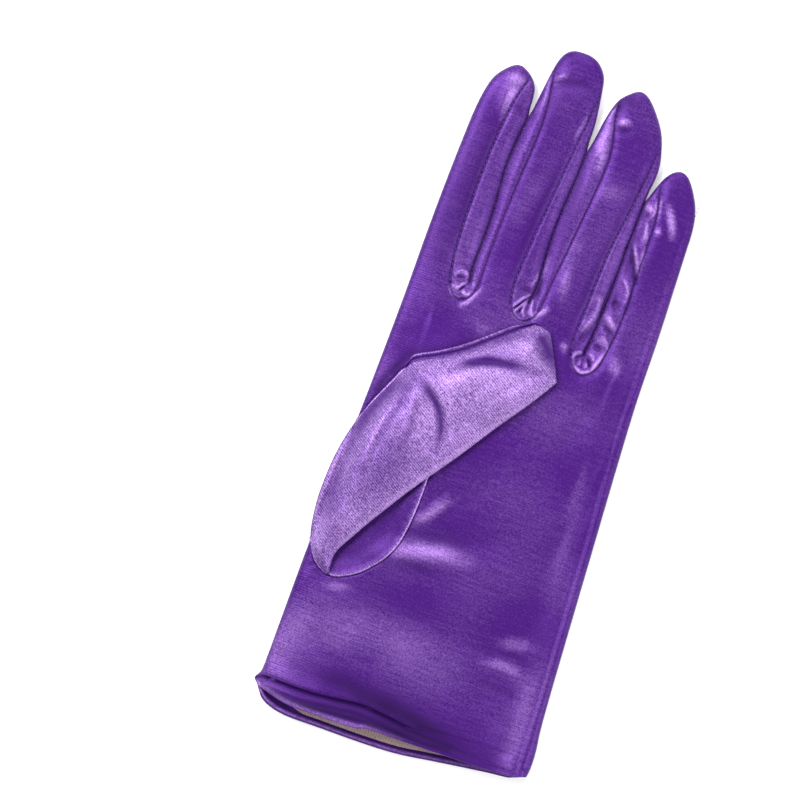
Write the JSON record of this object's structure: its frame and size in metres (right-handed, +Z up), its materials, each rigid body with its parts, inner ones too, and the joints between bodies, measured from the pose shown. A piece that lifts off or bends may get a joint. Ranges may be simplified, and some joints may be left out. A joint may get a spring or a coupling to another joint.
{
  "type": "dress glove",
  "caption": "Wrist length satin dress glove for a left hand, empty, lying palm up with its thumb folded across the palm and its cuff open.",
  "frame": {"origin": "on the surface that the glove lies on, under the middle of the glove's box", "axes": "+X from the index finger's side to the little finger's side, +Y from the cuff to the fingertips, +Z up, out of the palm"},
  "size_m": [0.0952, 0.2376, 0.0172],
  "materials": {
    "satin": "glossy knitted satin, purple",
    "thumb_satin": "the same satin with its ribs turned, so it catches the light",
    "fourchette_satin": "glossy knitted satin, purple",
    "hem_tape": "matte tape, greyish tan"
  },
  "bodies": {
    "root": {"trank": "satin", "thumb": "thumb_satin", "fourchette_index_middle": "fourchette_satin", "fourchette_middle_ring": "fourchette_satin", "fourchette_ring_little": "fourchette_satin", "hem_tape": "hem_tape"}
  },
  "joints": []
}
